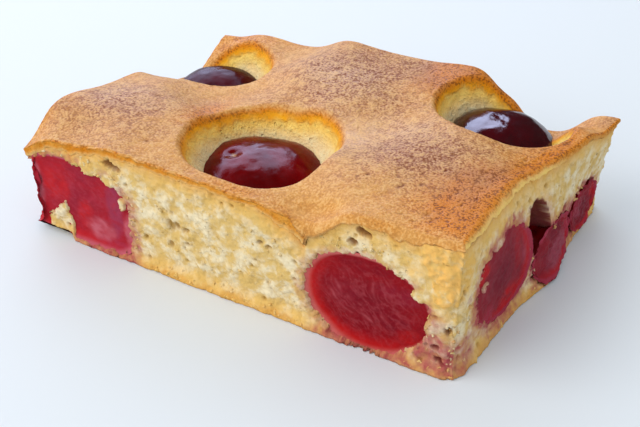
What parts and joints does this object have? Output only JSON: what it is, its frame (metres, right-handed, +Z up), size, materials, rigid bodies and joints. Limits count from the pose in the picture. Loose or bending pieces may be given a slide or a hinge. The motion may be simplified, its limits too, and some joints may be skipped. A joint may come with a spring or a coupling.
{
  "type": "cherry sponge cake slice",
  "caption": "Cut rectangular slice of cherry sponge tray-bake: a risen golden crust with whole cherries sunk in pits, and cherries cut through along its sides.",
  "frame": {"origin": "middle of the flat base that the slice stands on", "axes": "+X along the slice's long cut side, +Y from the front cut side to the back one, +Z up through the crust"},
  "size_m": [0.0986, 0.0622, 0.0283],
  "materials": {
    "sponge": "matte crumb",
    "crust": "baked, satin",
    "cherry_skin": "glossy",
    "cherry_flesh": "moist, satin"
  },
  "bodies": {
    "root": {"sponge": "sponge", "cherry_centre": "cherry_skin", "cherry_back_left": "cherry_skin", "cherry_right_back": "cherry_skin", "cherry_front_cut": "cherry_flesh", "cherry_left_corner_cut": "cherry_flesh", "cherry_right_cut_large": "cherry_flesh", "cherry_right_cut_torn": "cherry_flesh", "cherry_right_cut_low": "cherry_flesh"}
  },
  "joints": []
}
